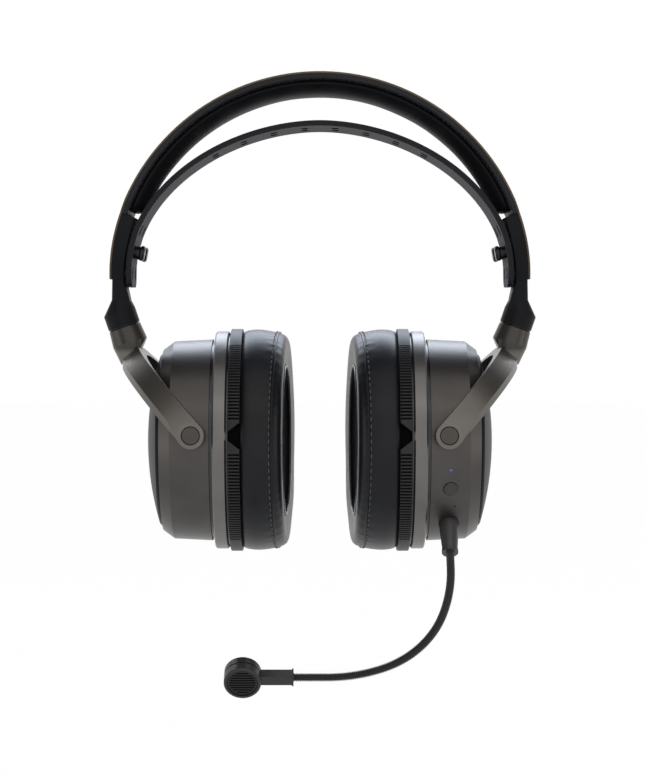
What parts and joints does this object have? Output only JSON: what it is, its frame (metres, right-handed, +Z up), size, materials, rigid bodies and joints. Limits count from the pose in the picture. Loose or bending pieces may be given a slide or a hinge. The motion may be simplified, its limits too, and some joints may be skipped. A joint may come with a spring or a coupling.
{
  "type": "wireless headset",
  "caption": "Over-ear headset with a leather-covered arch, suspension strap, swivelling oval-padded cups and a plug-in boom microphone.",
  "frame": {"origin": "the middle of the suspension strap's underside, where the crown of the head touches it", "axes": "+X towards the wearer's left ear, -Y the way the wearer faces, +Z up"},
  "size_m": [0.2026, 0.1385, 0.279],
  "materials": {
    "gunmetal": "satin bronze-grey with a fine grain",
    "band_steel": "dark bronze steel strip",
    "black_plastic": "fine moulded texture",
    "leather": "soft black leatherette, fine grain",
    "strap_rubber": "blue-grey elastomer",
    "knob_plastic": "satin black",
    "plain_steel": "machined",
    "bush_bronze": "sintered bronze",
    "driver_plastic": "glass-filled",
    "magnet": "nickel plated",
    "diaphragm_film": "thin metallised film",
    "scrim_cloth": "open black knit",
    "circuit_board": "solder mask",
    "battery_wrap": "shrink sleeve",
    "socket_plastic": "black moulding",
    "light_lens": "translucent",
    "plug_metal": "gold plated",
    "boom_rubber": "black moulded rubber",
    "mic_plastic": "dark warm grey",
    "capsule_metal": "can"
  },
  "bodies": {
    "headband": {"headband_spring": "band_steel", "headband_liner": "leather", "headband_cushion": "leather", "arm_left": "black_plastic", "arm_right": "black_plastic", "arm_screws": "plain_steel", "suspension_strap": "strap_rubber", "strap_studs": "plain_steel", "strap_knobs": "knob_plastic"},
    "slider_left": {"slider_blade_left": "plain_steel", "slider_end_left": "black_plastic", "swivel_pin_left": "plain_steel"},
    "yoke_left": {"yoke_left": "gunmetal", "swivel_bush_left": "bush_bronze"},
    "cup_left": {"cup_shell_left": "gunmetal", "outer_cover_left": "black_plastic", "trim_ring_left": "gunmetal", "baffle_left": "black_plastic", "driver_frame_left": "driver_plastic", "driver_magnets_left": "magnet", "driver_diaphragm_left": "diaphragm_film", "pad_mount_left": "black_plastic", "ear_pad_left": "leather", "pad_scrim_left": "scrim_cloth", "pivot_screws_left": "plain_steel", "main_board": "circuit_board", "mic_socket": "socket_plastic", "audio_socket": "socket_plastic", "charging_socket": "plain_steel", "status_light": "light_lens", "wheel_axle": "plain_steel"},
    "slider_right": {"slider_blade_right": "plain_steel", "slider_end_right": "black_plastic", "swivel_pin_right": "plain_steel"},
    "yoke_right": {"yoke_right": "gunmetal", "swivel_bush_right": "bush_bronze"},
    "cup_right": {"cup_shell_right": "gunmetal", "outer_cover_right": "black_plastic", "trim_ring_right": "gunmetal", "baffle_right": "black_plastic", "driver_frame_right": "driver_plastic", "driver_magnets_right": "magnet", "driver_diaphragm_right": "diaphragm_film", "pad_mount_right": "black_plastic", "ear_pad_right": "leather", "pad_scrim_right": "scrim_cloth", "pivot_screws_right": "plain_steel", "battery": "battery_wrap"},
    "front_button": {"front_button": "knob_plastic"},
    "power_button": {"power_button": "knob_plastic"},
    "volume_wheel": {"volume_wheel": "knob_plastic"},
    "plug": {"boom_plug": "plug_metal"},
    "boom": {"boom_boot": "boom_rubber", "gooseneck": "boom_rubber", "mic_stem": "mic_plastic", "mic_housing": "mic_plastic", "mic_grille": "mic_plastic", "mic_capsule": "capsule_metal"}
  },
  "joints": [
    {"name": "slider_left_extend", "type": "slide", "parent": "headband", "child": "slider_left", "axis": [0.1564, 0, -0.9877], "range_m": [0, 0.018]},
    {"name": "yoke_left_swivel", "type": "hinge", "parent": "slider_left", "child": "yoke_left", "pos_m": [0.0918, 0, -0.0925], "axis": [-0.3256, 0, -0.9455], "range_deg": [-5, 90]},
    {"name": "cup_left_tilt", "type": "hinge", "parent": "yoke_left", "child": "cup_left", "pos_m": [0.05774, 0, -0.14141], "axis": [0, 1, 0], "range_deg": [-10, 10]},
    {"name": "slider_right_extend", "type": "slide", "parent": "headband", "child": "slider_right", "axis": [-0.1564, 0, -0.9877], "range_m": [0, 0.018]},
    {"name": "yoke_right_swivel", "type": "hinge", "parent": "slider_right", "child": "yoke_right", "pos_m": [-0.0918, 0, -0.0925], "axis": [-0.3256, 0, 0.9455], "range_deg": [-5, 90]},
    {"name": "cup_right_tilt", "type": "hinge", "parent": "yoke_right", "child": "cup_right", "pos_m": [-0.05774, 0, -0.14141], "axis": [0, -1, 0], "range_deg": [-10, 10]},
    {"name": "front_button_press", "type": "slide", "parent": "cup_left", "child": "front_button", "axis": [0, 0.9033, 0.4289], "range_m": [0, 0.0008], "stiffness_N_per_m": 1500, "springref_m": -0.0002},
    {"name": "power_button_press", "type": "slide", "parent": "cup_left", "child": "power_button", "axis": [0, -0.9397, 0.342], "range_m": [0, 0.0008], "stiffness_N_per_m": 1500, "springref_m": -0.0002},
    {"name": "volume_wheel_turn", "type": "hinge", "parent": "cup_left", "child": "volume_wheel", "pos_m": [0.05894, 0.0314, -0.17408], "axis": [1, 0, 0], "continuous": true},
    {"name": "boom_unplug", "type": "slide", "parent": "cup_left", "child": "plug", "axis": [0, -0.6157, -0.788], "range_m": [0, 0.016]},
    {"name": "boom_turn", "type": "hinge", "parent": "plug", "child": "boom", "pos_m": [0.05894, -0.02835, -0.1821], "axis": [0, -0.6157, -0.788], "range_deg": [-45, 45]}
  ]
}
